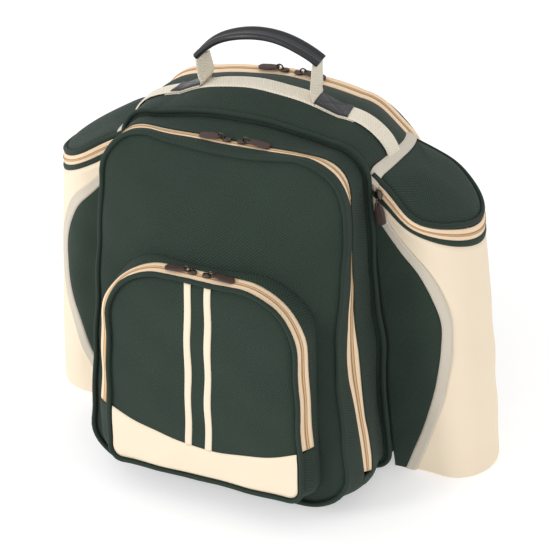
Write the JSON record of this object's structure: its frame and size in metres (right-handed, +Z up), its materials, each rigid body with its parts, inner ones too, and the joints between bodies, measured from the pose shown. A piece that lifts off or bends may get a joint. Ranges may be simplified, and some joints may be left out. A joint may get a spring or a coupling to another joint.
{
  "type": "picnic cooler backpack",
  "caption": "Insulated picnic backpack with zipped cooler body, plate pocket, front pocket, two bottle pockets, top carrying handle and rear shoulder straps",
  "frame": {"origin": "Centre of the bounding box in plan, on the floor it stands on.", "axes": "+X to the right of a viewer who faces the small front pocket, +Y from that pocket to the wearer's back panel, +Z up. The bag is close to symmetric about the YZ plane."},
  "size_m": [0.5394, 0.3408, 0.4867],
  "materials": {
    "green_canvas": "dark green woven canvas",
    "cream_canvas": "cream woven canvas",
    "cream_tape": "grey-beige woven tape and piping",
    "cream_webbing": "ribbed cream webbing",
    "zip_tape": "beige zip tape with coil teeth",
    "black_leather": "smooth black synthetic leather, stitched",
    "brown_leather": "dark brown leather",
    "bronze": "dark bronze plated metal"
  },
  "bodies": {
    "root": {"cooler_body": "green_canvas", "body_zip": "zip_tape", "body_rear_gusset": "green_canvas", "back_panel": "green_canvas", "body_piping": "cream_tape", "back_piping": "cream_tape", "plate_pocket_panel": "green_canvas", "plate_pocket_zip": "zip_tape", "plate_pocket_gusset": "green_canvas", "plate_pocket_piping": "cream_tape", "front_pocket_panel": "green_canvas", "front_pocket_zip": "zip_tape", "front_pocket_gusset": "green_canvas", "front_pocket_piping": "cream_tape", "front_pocket_yoke": "cream_canvas", "left_stripe": "cream_canvas", "right_stripe": "cream_canvas", "left_pocket_body": "cream_canvas", "left_pocket_band": "green_canvas", "left_pocket_zip": "zip_tape", "left_pocket_lid": "green_canvas", "left_pocket_piping": "cream_tape", "left_pocket_binding": "cream_tape", "left_pocket_leaf": "green_canvas", "left_pocket_trim": "cream_tape", "right_pocket_body": "cream_canvas", "right_pocket_band": "green_canvas", "right_pocket_zip": "zip_tape", "right_pocket_lid": "green_canvas", "right_pocket_piping": "cream_tape", "right_pocket_binding": "cream_tape", "right_pocket_leaf": "green_canvas", "right_pocket_trim": "cream_tape", "cross_strap": "cream_webbing", "left_handle_webbing": "cream_webbing", "left_patch": "black_leather", "right_handle_webbing": "cream_webbing", "right_patch": "black_leather", "handle_grip": "black_leather", "left_pocket_slider": "bronze", "left_pocket_tab": "brown_leather", "right_pocket_slider": "bronze", "right_pocket_tab": "brown_leather", "front_pocket_left_slider": "bronze", "front_pocket_left_tab": "brown_leather", "front_pocket_right_slider": "bronze", "front_pocket_right_tab": "brown_leather", "plate_pocket_left_slider": "bronze", "plate_pocket_left_tab": "brown_leather", "plate_pocket_right_slider": "bronze", "plate_pocket_right_tab": "brown_leather", "body_left_slider": "bronze", "body_left_tab": "brown_leather", "body_right_slider": "bronze", "body_right_tab": "brown_leather", "left_shoulder_strap": "green_canvas", "left_strap_tail": "cream_webbing", "right_shoulder_strap": "green_canvas", "right_strap_tail": "cream_webbing"}
  },
  "joints": []
}
